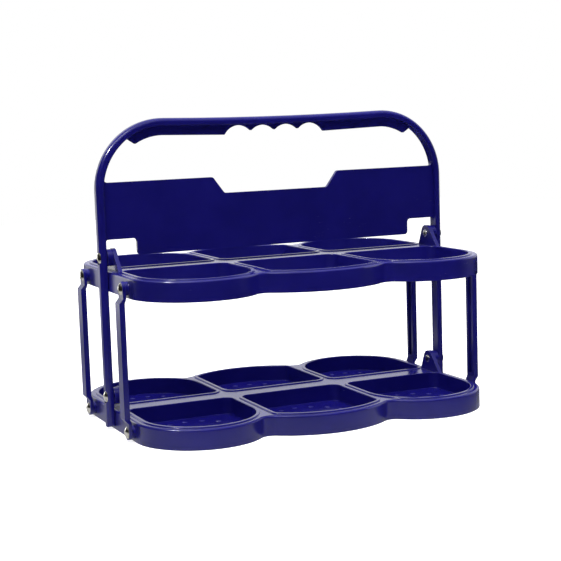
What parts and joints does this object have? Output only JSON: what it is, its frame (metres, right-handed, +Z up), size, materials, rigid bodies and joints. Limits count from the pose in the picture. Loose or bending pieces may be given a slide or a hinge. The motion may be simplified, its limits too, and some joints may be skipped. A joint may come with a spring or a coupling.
{
  "type": "folding bottle carrier",
  "caption": "Folding moulded-plastic carrier for sports bottles: a tray of cups, a tray of rings, a hooped handle frame and jogged links that keep the trays level.",
  "frame": {"origin": "on the floor, below the middle of the lower tray", "axes": "+X along the trays and the handle, -Y to the front, +Z up"},
  "size_m": [0.3242, 0.2264, 0.2535],
  "materials": {
    "blue_plastic": "gloss",
    "rivet_steel": "bright"
  },
  "bodies": {
    "lower_tray": {"lower_tray": "blue_plastic", "lower_pivot_rivet_left": "rivet_steel", "lower_pivot_rivet_right": "rivet_steel", "lower_link_rivet_front_left": "rivet_steel", "lower_link_rivet_rear_left": "rivet_steel", "lower_link_rivet_front_right": "rivet_steel", "lower_link_rivet_rear_right": "rivet_steel"},
    "handle_frame": {"handle_frame": "blue_plastic"},
    "upper_tray": {"upper_tray": "blue_plastic", "upper_pivot_rivet_left": "rivet_steel", "upper_pivot_rivet_right": "rivet_steel", "upper_link_rivet_front_left": "rivet_steel", "upper_link_rivet_rear_left": "rivet_steel", "upper_link_rivet_front_right": "rivet_steel", "upper_link_rivet_rear_right": "rivet_steel"},
    "link_front_left": {"link_front_left": "blue_plastic"},
    "link_rear_left": {"link_rear_left": "blue_plastic"},
    "link_front_right": {"link_front_right": "blue_plastic"},
    "link_rear_right": {"link_rear_right": "blue_plastic"}
  },
  "joints": [
    {"name": "frame_fold", "type": "hinge", "parent": "lower_tray", "child": "handle_frame", "pos_m": [0, 0, 0.0274], "axis": [1, 0, 0], "range_deg": [-58, 58]},
    {"name": "upper_tray_fold", "type": "hinge", "parent": "handle_frame", "child": "upper_tray", "pos_m": [0, 0, 0.142], "axis": [1, 0, 0], "range_deg": [-58, 58]},
    {"name": "link_front_left_fold", "type": "hinge", "parent": "lower_tray", "child": "link_front_left", "pos_m": [-0.1577, -0.0535, 0.0078], "axis": [1, 0, 0], "range_deg": [-58, 58]},
    {"name": "link_rear_left_fold", "type": "hinge", "parent": "lower_tray", "child": "link_rear_left", "pos_m": [-0.1577, 0.0535, 0.0078], "axis": [1, 0, 0], "range_deg": [-58, 58]},
    {"name": "link_front_right_fold", "type": "hinge", "parent": "lower_tray", "child": "link_front_right", "pos_m": [0.1577, -0.0535, 0.0078], "axis": [1, 0, 0], "range_deg": [-58, 58]},
    {"name": "link_rear_right_fold", "type": "hinge", "parent": "lower_tray", "child": "link_rear_right", "pos_m": [0.1577, 0.0535, 0.0078], "axis": [1, 0, 0], "range_deg": [-58, 58]}
  ],
  "couplings": [
    {"joint": "upper_tray_fold", "follows": "frame_fold", "ratio": -1},
    {"joint": "link_front_left_fold", "follows": "frame_fold", "ratio": 1},
    {"joint": "link_rear_left_fold", "follows": "frame_fold", "ratio": 1},
    {"joint": "link_front_right_fold", "follows": "frame_fold", "ratio": 1},
    {"joint": "link_rear_right_fold", "follows": "frame_fold", "ratio": 1}
  ]
}
